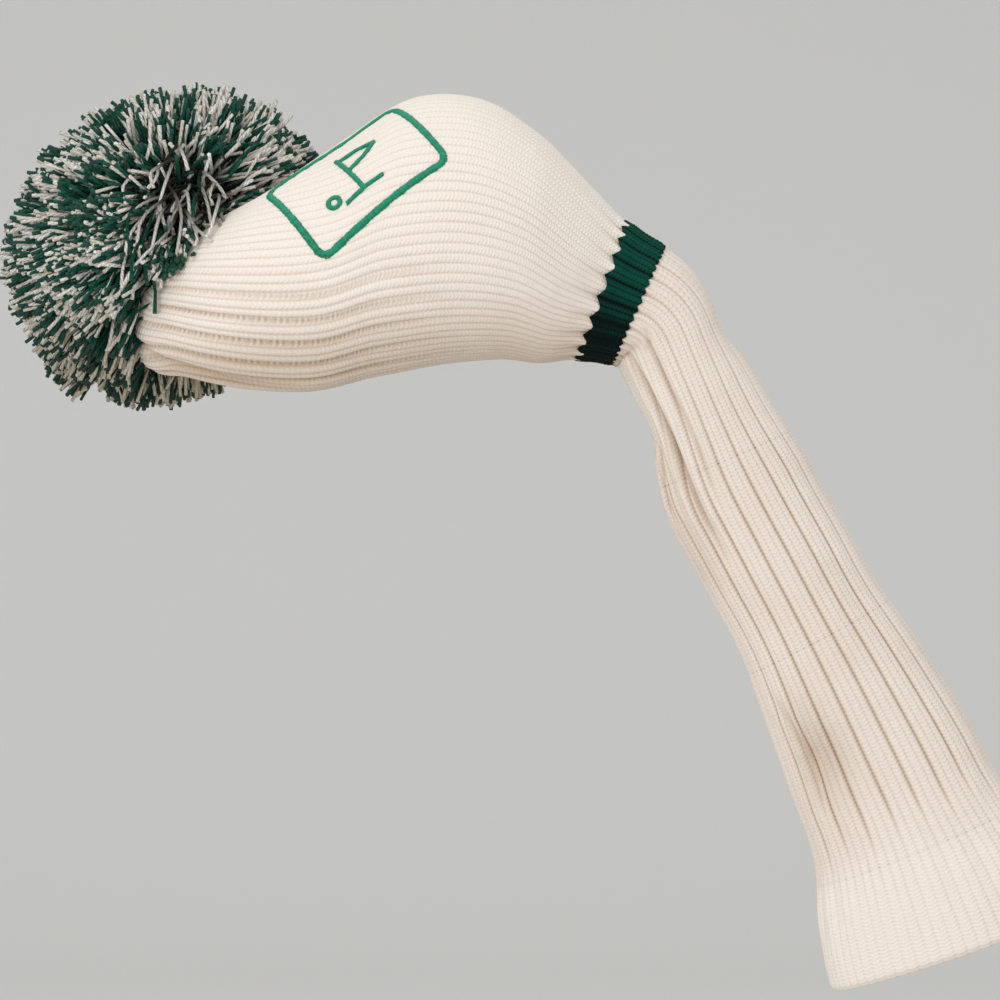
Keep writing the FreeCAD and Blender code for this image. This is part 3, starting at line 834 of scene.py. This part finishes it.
def sock_relief(wale, s, wales):
    """The sock and its hem: ribs with a narrow furrow between each two, which fade into the hem, long
    creases, a slack belly under the fold and a soft dent lower down. The hem's edge is rolled in."""
    sock, hem = made("sock"), made("hem")
    turns = wale / wales
    deep = ribbing(turns, s)
    rib = wale % sock.rib_wales
    off = np.minimum(rib, sock.rib_wales - rib)
    furrow = bell(off, 0.24)
    h = -sock.furrow * deep * furrow + 0.20 * MM * deep * (np.sin(math.pi * rib / sock.rib_wales) - 0.6)
    h = h + wale_profile(wale, (0.19 + 0.10 * (1 - deep)) * MM) * (1 - 0.7 * furrow * deep)
    w = wale % 1
    h = h + 0.05 * MM * np.sin(2 * math.pi * (s / sock.course + 0.5 * np.abs(2 * w - 1)))
    for path, depth, width in SOCK_CREASES:
        h = h + crease(turns, s, path, depth * MM, width)
    h = h + swell(turns, s, SOCK_SWELLINGS)
    h = h + 1.3 * MM * ease((s - 0.02) / 0.03) * uneven(turns, s, 21, 1.4, 0.022)
    down = (s - sock.length) / hem.length
    ribs = 1 - 0.5 * np.cos(2 * math.pi * wale / sock.rib_wales)
    h = h + 0.9 * MM * bell(down - 0.25, 0.3) * ribs
    h = h - 2.0 * MM * np.clip((down - 0.93) / 0.07, 0, 1) ** 2
    # The first rows come out from under the stripe, in small pillows.
    teeth = made("neck").teeth * 2
    h = h - 0.6 * MM * np.exp(-np.maximum(s, 0) / 0.006) * np.cos(2 * math.pi * teeth * turns)
    return h * ease((s + 0.002) / 0.002) - 1.2 * MM * ease((0.0008 - s) / 0.0018)


def sock_painted_shading(wale, s, wales):
    """Painted shade in the sock's creases, on its slack belly, in the dent and just below the stripe
    underneath; a little darker above the hem and paler on it.
    """
    turns = wale / wales
    dark = 0 * turns
    for path, depth, width in SOCK_CREASES:
        dark = dark + 0.17 * depth * np.clip(-crease(turns, s, path, 1.0, width), 0, 1) ** 1.5
    dark = dark + 0.36 * bell(s - 0.176, 0.020) * bell(turns - 0.60, 0.06)
    dark = dark + 0.20 * bell(s - 0.076, 0.030) * bell(turns - 0.68, 0.06)
    dark = dark + 0.35 * np.exp(-np.maximum(s, 0) / 0.012) * ease((turns - 0.58) / 0.12)
    down = ease((s - made("sock").length + 0.01) / 0.03)
    return dark + 0.07 * (1 - down) - 0.08 * down


# ---- operators ------------------------------------------------------------------------------------------


class COVER_OT_head(bpy.types.Operator):
    """Knits the head from the gathered crown to the stripe"""

    bl_idname = "cover.head"
    bl_label = "Head"

    def execute(self, context):
        head, row, columns = made("head"), 0.92 * MM, 4
        rings, s = along_rings(head_rings(), row)
        piece = knit_tube("knit_head", rings, s, head.wales, columns, head.course, head_relief, head_painted_shading)
        dress(piece, material("head_knit"), "head", ["head_shell"])
        return {"FINISHED"}


SOCK_COLUMNS = 6  # points across each of the sock's wales


def sock_length(name, start, end, wall=WALL):
    """The sock's knit from start to end, in rows a third of a course apart."""
    sock = made("sock")
    s = np.linspace(start, end, max(4, round((end - start) / (sock.course / 3)) + 1))
    rings = sock_rings(s)
    piece = knit_tube(name, rings, s, sock.wales, SOCK_COLUMNS, sock.course, sock_relief, sock_painted_shading, wall)
    # The painted shade in the furrows fades with the furrows.
    mesh = piece.data
    uv = np.empty(len(mesh.loops) * 2, dtype=np.float32)
    mesh.uv_layers.active.data.foreach_get("uv", uv)
    corners = np.empty(len(mesh.loops), dtype=np.int32)
    mesh.loops.foreach_get("vertex_index", corners)
    uv = uv.reshape(-1, 2)
    deep = np.zeros(len(mesh.vertices), dtype=np.float32)
    deep[corners] = ribbing(uv[:, 0] / sock.wales, uv[:, 1] * sock.course)
    mesh.attributes.new("ribbed", "FLOAT", "POINT").data.foreach_set("value", deep)
    return dress(piece, material("sock_knit"))


class COVER_OT_sock(bpy.types.Operator):
    """Knits the ribbed sock in three lengths, one over each place where it bends"""

    bl_idname = "cover.sock"
    bl_label = "Sock"

    def execute(self, context):
        sock = made("sock")
        # Where each length starts and ends down the sock, its two bodies, and where between them it bends.
        lengths = (
            ("top", -0.004, 0.066, "head", "sock_top", (0.0, sock.fold), ("neck_fold", "upper")),
            ("middle", 0.066, 0.138, "sock_top", "sock_mid", (0.088, 0.118), ("curl_stretch", "middle")),
            ("end", 0.138, sock.length, "sock_mid", "sock_end", (0.158, 0.182), ("sway_stretch", "lower")),
        )
        for name, start, end, above, below, soft, nodes in lengths:
            piece = sock_length(f"knit_sock_{name}", start, end)
            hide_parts(*(f"sock_{node}" for node in nodes))
            first, last = (Vector(p) for p in sock_rings(np.array(soft))[:, MIDDLE])
            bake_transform(piece)
        return {"FINISHED"}


class COVER_OT_hem(bpy.types.Operator):
    """Knits the plain hem, where the sock's wales run on, and the layer turned up inside it"""

    bl_idname = "cover.hem"
    bl_label = "Hem"

    def execute(self, context):
        sock, hem = made("sock"), made("hem")
        end = sock.length + hem.length
        outer = sock_length("knit_hem", sock.length, end, wall=2.5 * MM)
        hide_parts("hem_outer")
        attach(outer, "sock_end")
        s = np.linspace(sock.length + MM, end - 0.4 * MM, round(hem.length / (0.62 * MM)))
        back = s[::-1][::6]
        columns = sock.wales * SOCK_COLUMNS
        wale = np.arange(columns + 1) / SOCK_COLUMNS
        turned = wrap(sock_rings(s), columns, inset=5.0 * MM)
        h = wale_profile(wale[None, :], 0.3 * MM) + 0.1 * MM * np.sin(2 * math.pi * s[:, None] / sock.course)
        roll = 2.4 * MM * ease((s[:, None] - end + 0.004) / 0.004)
        turned = turned - outward(turned) * (h - roll)[..., None]
        hidden = wrap(sock_rings(back), columns, inset=2.7 * MM)
        points = np.concatenate([hidden, turned, hidden[:1]])
        uv = stitch_uv(wale, np.concatenate([back, s, s[-1:]]) / sock.course)
        inner = cloth_from_grid("knit_hem_turned", points, uv)
        dress(inner, material("sock_knit"), "sock_end", ["hem_turned"])
        return {"FINISHED"}


class COVER_OT_stripe(bpy.types.Operator):
    """Knits the green stripe, whose stitches interlock with the cream knit above and below"""

    bl_idname = "cover.stripe"
    bl_label = "Stripe"

    def execute(self, context):
        neck = made("neck")
        wales, per_wale, course = neck.teeth * 3, 6, 1.4 * MM
        rings, s = along_rings(stripe_rings(), 0.5 * MM)
        columns = wales * per_wale
        wale = np.arange(columns + 1) / per_wale
        turns = wale / wales
        base = wrap(rings, columns)
        ahead = unit(np.gradient(base, axis=0))
        share = s / s[-1]
        phase = (wale / 3) % 1
        tooth = np.abs(phase - 0.5) * 2
        fine = np.abs((wale / 1.5) % 1 - 0.5) * 2
        wander = 0.5 * uneven(turns, 0 * turns, 41, 6, 1.0)
        upper = -neck.tooth * (tooth**1.4 + 0.25 * wander - 0.25) * (1 - ease(share / 0.4))[:, None]
        lower = 0.5 * neck.tooth * (fine + 0.4 * wander - 0.2) * ease((share - 0.7) / 0.3)[:, None]
        edge = ease(share / 0.15) * ease((1 - share) / 0.15)
        h = (0.35 + 0.5 * edge)[:, None] * MM + 0.55 * MM * (np.abs(np.sin(math.pi * phase)) - 0.6)[None, :]
        h = h + wale_profile(wale, 0.28 * MM)[None, :] + 0.12 * MM * np.sin(2 * math.pi * s / course)[:, None]
        h = h + 0.5 * MM * (1 - edge)[:, None] * tooth[None, :]
        outer = base + ahead * (upper + lower)[..., None] + outward(base) * h[..., None]
        back = [len(s) - 1, len(s) // 2, 0]
        inner = wrap(rings[back], columns, inset=2.6 * MM)
        points = np.concatenate([outer, inner, outer[:1]])
        uv = stitch_uv(wale, np.concatenate([s, s[back], s[:1]]) / course)
        # Painted shade: darker underneath and at the teeth's tips, between the cream pillows, with flat
        # painted shade inside.
        low = 0.85 * ease(0.25 - outward(base)[..., 2]) + 0.5 * bell(tooth - 1, 0.35)[None, :]
        shadow = np.concatenate([low, np.full(inner.shape[:2], 0.5), low[:1]])
        piece = cloth_from_grid("knit_stripe", points, uv, shadow)
        dress(piece, material("stripe_knit"), "head", ["neck_stripe"])
        return {"FINISHED"}


def crown_frame():
    """The middle of the crown's outside, and the way out of the cover there."""
    ring = head_rings()[0]
    pitch, turn = ring[PITCH], ring[TURN]
    along = Vector((math.cos(pitch) * math.cos(turn), -math.sin(turn), -math.sin(pitch) * math.cos(turn)))
    return Vector(ring[MIDDLE]), -along


class COVER_OT_pompom(bpy.types.Operator):
    """Winds, ties and trims the pompom's green and white yarn"""

    bl_idname = "cover.pompom"
    bl_label = "Pompom"

    def execute(self, context):
        pompom = made("pompom")
        rng = np.random.default_rng(SEED)
        low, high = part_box("pompom_tie")
        tie = np.array((Vector(low) + Vector(high)) / 2)
        radius = pompom.diameter / 2
        middle = tie + np.array([0.003, -0.004, 0.0035])
        # The yarn was tied off its middle, so it parts on the near side, up by the head.
        part = np.array([0.30, -0.88, 0.36])
        part /= np.linalg.norm(part)
        stretch = np.array([0.73, 0.0, 0.68])
        slump = np.array([-0.93, 0.0, -0.36])
        start = middle + 0.30 * radius * part
        # The strands point evenly all round, then gather into clumps.
        count, clumps, rings = pompom.strands, 420, 6
        k = np.arange(count) + 0.5
        lift, spin = 1 - 2 * k / count, math.pi * (1 + 5**0.5) * k
        aim = np.stack([np.sqrt(1 - lift**2) * np.cos(spin), np.sqrt(1 - lift**2) * np.sin(spin), lift], 1)
        aim = unit(aim + rng.normal(0, 0.03, aim.shape))
        seeds = unit(rng.normal(0, 1, (clumps, 3)))
        clump = np.argmax(aim @ seeds.T, axis=1)
        aim = unit(aim + 0.30 * (seeds[clump] - aim))
        away = np.arccos(np.clip(aim @ part, -1, 1))
        side = unit(aim - part * (aim @ part)[:, None])
        parted = away + np.where(rng.random(count) < 0.85, 0.34, 0.1) * np.exp(-((away / 0.8) ** 2))

        def toward(turn):
            return part * np.cos(turn)[:, None] + side * np.sin(turn)[:, None]

        tip = toward(parted) + rng.normal(0, 0.035, aim.shape) + rng.normal(0, 0.07, (clumps, 3))[clump]
        tip = unit(tip)
        reach = radius + rng.normal(0, 0.35, clumps)[clump] * pompom.ragged
        reach = reach - np.abs(rng.normal(0, 1.0, count)) * pompom.ragged - 0.001
        fuller = 0.20 * np.maximum(tip @ stretch, 0) ** 2 + 0.07 * np.maximum(tip @ slump, 0) ** 2
        reach = reach * (1 + fuller)
        end = middle + tip * reach[:, None] + np.array([0, 0, -1]) * 0.002
        bend = middle + toward(np.maximum(parted - 0.42 * np.sin(parted), 0.05)) * (0.62 * reach)[:, None]
        # Each strand leaves the tie, bends away from the parting and ends near the trimmed ball.
        t = np.linspace(0.16, 1, rings)[None, :, None]
        path = start * (1 - t) ** 2 + 2 * bend[:, None] * t * (1 - t) + end[:, None] * t * t
        wave = rng.normal(0, 0.0014, (count, rings, 3)) * np.array([0, 0.5, 1, 1, 1, 0.6])[None, :, None]
        path = path + wave + rng.normal(0, 0.0018, (count, 1, 3)) * np.sin(math.pi * t)
        crown, out = crown_frame()
        # Low down, the crown's corner hangs in front of the pompom.
        behind = (end - np.array(crown)) @ np.array(out)
        keep = behind > -0.030 + 0.026 * ease((0.012 - end[:, 2]) / 0.02) * (end[:, 0] > -0.176)
        path, clump = self.press(path[keep]), clump[keep]
        tone = rng.normal(0, 1, clumps)[clump] * 0.55 + rng.normal(0, 1, len(clump))
        white = tone > np.median(tone) + 0.12
        flare = np.array([[0.8, 0.95, 1, 1, 1.02, 1.22]])  # the cut ends open out
        radii = pompom.strand / 2 * rng.uniform(0.82, 1.18, (len(path), 1)) * flare
        shades = rng.uniform(0, 1, len(path))
        for word, chosen in (("green", ~white), ("white", white)):
            index = np.flatnonzero(chosen)
            for number in range(4):
                share = index[number::4]
                self.wind(word, number + 1, path[share], radii[share], shades[share])
        self.loose(rng, middle + part * 0.034, pompom)
        return {"FINISHED"}

    def loose(self, rng, root, pompom):
        """Long strands that have slipped out of the parting and droop over the crown."""
        count, rings = pompom.loose, 10
        t = np.linspace(0, 1, rings)[None, :, None]
        start = root + rng.normal(0, 0.0055, (count, 3))
        spread = ((-0.020, 0.012), (-0.018, -0.004), (-0.002, 0.014))
        fling = np.stack([rng.uniform(low, high, count) for low, high in spread], 1)
        aside, fall = rng.normal(-0.002, 0.006, count), rng.uniform(0.012, 0.036, count)
        drop = np.stack([aside, 0 * aside, -fall], 1)
        path = start[:, None] + fling[:, None] * np.sin(t * math.pi / 1.7) + drop[:, None] * t**1.8
        curl = rng.uniform(0, 6.28, (count, 1, 1))
        path = path + 0.0012 * np.sin(curl + 7 * t) * rng.normal(0, 1, (count, 1, 3))
        path = self.press(path)
        radii = np.full((count, rings), pompom.strand / 2 * 1.1)
        radii[:, -1] *= 1.25
        white = rng.random(count) < 0.72
        for word, chosen in (("green", ~white), ("white", white)):
            shades = rng.uniform(0, 0.7, int(chosen.sum()))
            self.wind(word, "loose", path[chosen], radii[chosen], shades)

    def wind(self, word, part, paths, radii, shades):
        """One part of the pompom's yarn of one colour."""
        piece = strands(f"pompom_{word}_{part}", paths, radii, shades)
        dress(piece, material(f"pompom_{word}"), "pompom", [f"pompom_{word}_yarn"])

    def press(self, path):
        """Moves the points that would lie in the head out to its surface."""
        surface, clear = head_surface(), 2.2 * MM
        hips = head_rings()[5][MIDDLE]  # inside the part of the head that the yarn reaches
        flat = path.reshape(-1, 3)
        for i in np.flatnonzero(np.linalg.norm(flat - hips, axis=1) < 0.075):
            point = Vector(flat[i])
            place, normal, *_ = surface.find_nearest(point)
            if (point - place).dot(normal) < clear:
                flat[i] = place + normal * clear
        return flat.reshape(path.shape)


class Patch:
    """The flat that the embroidery is drawn on before it is laid on the head."""

    def __init__(self):
        full = head_rings()[7]  # the fullest ring
        self.normal = Vector((-0.10, -0.85, 0.52)).normalized()
        length = Vector((0.835, 0.238, 0.55))
        self.length = (length - self.normal * length.dot(self.normal)).normalized()
        self.height = self.normal.cross(self.length)
        sizes, near = made("embroidery"), -0.0316
        self.middle = Vector((full[0] + sizes.along, near, full[2] + sizes.rise))
        self.surface = head_surface()

    def lay(self, x, y, proud):
        """The point of the head's outside under (x, y) on the flat, raised by proud."""
        start = self.middle + self.length * x + self.height * y + self.normal * 0.04
        place, _, _, _ = self.surface.ray_cast(start, -self.normal)
        if place is None:
            raise RuntimeError("the embroidery runs off the head")
        return place + self.normal * proud


def resample(points, step, closed=False):
    """Points a step apart along a polyline, with the way it runs at each."""
    points = np.array(points, float)
    if closed:
        points = np.concatenate([points, points[:1]])
    lengths = np.linalg.norm(np.diff(points, axis=0), axis=1)
    at = np.concatenate([[0], np.cumsum(lengths)])
    s = np.linspace(0, at[-1], max(2, round(at[-1] / step) + 1))
    if closed:
        s = s[:-1]
    place = np.stack([np.interp(s, at, points[:, k]) for k in range(2)], 1)
    return place, unit(np.gradient(place, axis=0))


def satin(patch, points, width, thread, rng, closed=False):
    """The threads of one satin-stitched line: they lie across it, side by side, and arch over the knit."""
    place, ahead = resample(points, 0.8 * thread, closed)
    paths = []
    for (x, y), (dx, dy) in zip(place, ahead):
        half = width / 2 * rng.uniform(0.88, 1.1)
        lean = rng.uniform(-0.12, 0.12) + 0.22
        ax, ay = -dy + lean * dx, dx + lean * dy
        row = []
        for k in range(5):
            t = k / 2 - 1
            row.append(patch.lay(x + ax * half * t, y + ay * half * t, (0.05 + 0.75 * (1 - t * t)) * MM))
        paths.append(row)
    return paths


class COVER_OT_embroidery(bpy.types.Operator):
    """Stitches the green border and the flagstick inside it on the front of the head"""

    bl_idname = "cover.embroidery"
    bl_label = "Embroidery"

    def execute(self, context):
        sizes = made("embroidery")
        patch, rng = Patch(), random.Random(SEED)
        x, y = sizes.length / 2 - sizes.border / 2, sizes.height / 2 - sizes.border / 2
        corner, outline = sizes.corner, []
        for cx, cy, start in ((1, 1, 0), (-1, 1, 90), (-1, -1, 180), (1, -1, 270)):
            for k in range(7):
                t = math.radians(start + 15 * k)
                across, up = corner * math.cos(t), corner * math.sin(t)
                outline.append((cx * (x - corner) + across, cy * (y - corner) + up))
        border = satin(patch, outline, sizes.border, sizes.thread, rng, closed=True)
        foot = -0.475 * sizes.height / 2
        top, ball, motif = -foot, 0.0021, []
        # The stick, the pennant's two edges, the ground and the ball.
        lines = [
            [(-0.002, foot), (-0.002, top)],
            [(-0.001, top - 0.001), (0.0055, top - 0.0016), (0.012, top - 0.004)],
            [(0.012, top - 0.004), (0.0055, top - 0.0068), (-0.001, top - 0.008)],
            [(-0.010, foot), (-0.002, foot + 0.0006), (0.006, foot)],
            [(ball * math.cos(0.3 * k) - 0.013, ball * math.sin(0.3 * k) + foot + 0.0036) for k in range(21)],
        ]
        for line in lines:
            motif += satin(patch, line, sizes.motif, sizes.thread, rng)
        for word, paths in (("border", border), ("motif", motif)):
            paths = np.array(paths)
            radii = np.full(paths.shape[:2], sizes.thread / 2)
            shades = np.array([rng.random() for _ in paths])
            piece = strands(f"embroidered_{word}", paths, radii, shades, sides=4)
            dress(piece, material("embroidery_thread"), "head", [f"embroidery_{word}"])
        return {"FINISHED"}


class COVER_OT_fittings(bpy.types.Operator):
    """Finishes the CAD pieces that show as they are: cord, knot, tie, washer, elastic, lining and stitches"""

    bl_idname = "cover.fittings"
    bl_label = "Fittings"

    def execute(self, context):
        finishes = {
            "head_lining": "lining_fleece",
            "crown_gather_thread": "sewing_thread",
            "crown_washer": "washer_felt",
            "anchor_knot": "cord_thread",
            "anchor_cord": "cord_thread",
            "pompom_tie": "cord_thread",
            "neck_elastic": "neck_webbing",
            "hem_stitches": "sewing_thread",
            "embroidery_backing": "washer_felt",
        }
        for node, finish in finishes.items():
            piece = bpy.data.objects[node]
            for slot in piece.material_slots:
                slot.material = material(finish)
        return {"FINISHED"}


class COVER_OT_stage(bpy.types.Operator):
    """Sets up the pale floor and backdrop, the soft lights and the camera"""

    bl_idname = "cover.stage"
    bl_label = "Stage"

    def execute(self, context):
        studio = made("studio")
        deselect()
        floor_z = CAD_BOX[0][2] - 0.16
        bpy.ops.mesh.primitive_plane_add(size=1, location=(0, 0, floor_z))
        floor = bpy.context.object
        floor.name = "studio_sweep"
        floor.scale = (7, 4.5, 1)
        bpy.ops.object.transform_apply(location=True, scale=True)
        bpy.ops.object.mode_set(mode="EDIT")
        bpy.ops.mesh.select_mode(type="EDGE")
        bpy.ops.mesh.select_all(action="DESELECT")
        bpy.ops.object.mode_set(mode="OBJECT")
        for edge in floor.data.edges:
            edge.select = all(floor.data.vertices[v].co.y > 1 for v in edge.vertices)
        bpy.ops.object.mode_set(mode="EDIT")
        bpy.ops.mesh.extrude_region_move(TRANSFORM_OT_translate={"value": (0, 0, 3.2)})
        bpy.ops.object.mode_set(mode="OBJECT")
        bend = floor.modifiers.new("Sweep", "BEVEL")
        bend.width, bend.segments, bend.limit_method = 1.1, 24, "ANGLE"
        bpy.ops.object.modifier_apply(modifier=bend.name)
        bpy.ops.object.shade_smooth()
        n = Nodes("studio_paint", roughness=0.9, specular=0.1)
        floor.data.materials.append(n.finish((0.70, 0.692, 0.665), n.noise(40.0, 2.0), 0.0002, 0.1))
        lights = (
            ("key", (-0.35, -0.9, 1.5), (0.0, 0.0, -0.05), 1.3, 5.0),
            ("top", (0.25, 0.35, 1.4), (0.0, 0.0, -0.05), 1.2, 2.6),
            ("fill", (-0.6, -1.4, -0.1), (-0.05, 0.0, -0.03), 1.2, 10.0),
        )
        for name, place, aim, across, power in lights:
            bpy.ops.object.light_add(type="AREA", location=place)
            light = bpy.context.object
            light.name = f"light_{name}"
            light.data.shape, light.data.size, light.data.energy = "DISK", across, power
            light.rotation_euler = (Vector(aim) - Vector(place)).to_track_quat("-Z", "Y").to_euler()
        world = bpy.data.worlds.new("studio_air")
        world.use_nodes = True
        air = world.node_tree.nodes["Background"]
        air.inputs[0].default_value, air.inputs[1].default_value = (0.97, 0.98, 1.0, 1), 0.74
        context.scene.world = world
        context.scene.view_settings.view_transform = "Standard"
        bpy.ops.object.camera_add(
            location=(studio.across, -studio.distance, studio.height), rotation=(math.pi / 2, 0, 0)
        )
        camera = context.object
        camera.data.lens, camera.data.sensor_width = studio.lens, 36
        context.scene.camera = camera
        return {"FINISHED"}


class COVER_PT_panel(bpy.types.Panel):
    """Lists the cover's pieces and sizes"""

    bl_idname = "COVER_PT_panel"
    bl_label = "Head Cover"
    bl_space_type = "VIEW_3D"
    bl_region_type = "UI"
    bl_category = "Head Cover"

    def draw(self, context):
        for operator in OPERATORS:
            self.layout.operator(operator.bl_idname)
        for name in GROUPS:
            box = self.layout.box()
            box.label(text=name.replace("_", " ").capitalize())
            group = made(name)
            for key in type(group).__annotations__:
                box.prop(group, key)


GROUPS = {
    "head": HeadSizes,
    "neck": NeckSizes,
    "sock": SockSizes,
    "hem": HemSizes,
    "pompom": PompomSizes,
    "embroidery": EmbroiderySizes,
    "colours": CoverColours,
    "studio": StudioSizes,
}
OPERATORS = (
    COVER_OT_stage,
    COVER_OT_head,
    COVER_OT_stripe,
    COVER_OT_sock,
    COVER_OT_hem,
    COVER_OT_embroidery,
    COVER_OT_pompom,
    COVER_OT_fittings,
)


def register():
    for cls in (*GROUPS.values(), *OPERATORS, COVER_PT_panel):
        bpy.utils.register_class(cls)
    for name, cls in GROUPS.items():
        setattr(bpy.types.Scene, "cover_" + name, PointerProperty(type=cls))


def unregister():
    for name in GROUPS:
        delattr(bpy.types.Scene, "cover_" + name)
    for cls in reversed((*GROUPS.values(), *OPERATORS, COVER_PT_panel)):
        bpy.utils.unregister_class(cls)


def main():
    register()
    for operator in OPERATORS:
        group, name = operator.bl_idname.split(".")
        getattr(getattr(bpy.ops, group), name)()
    bpy.context.view_layer.update()


if __name__ == "__main__":
    main()
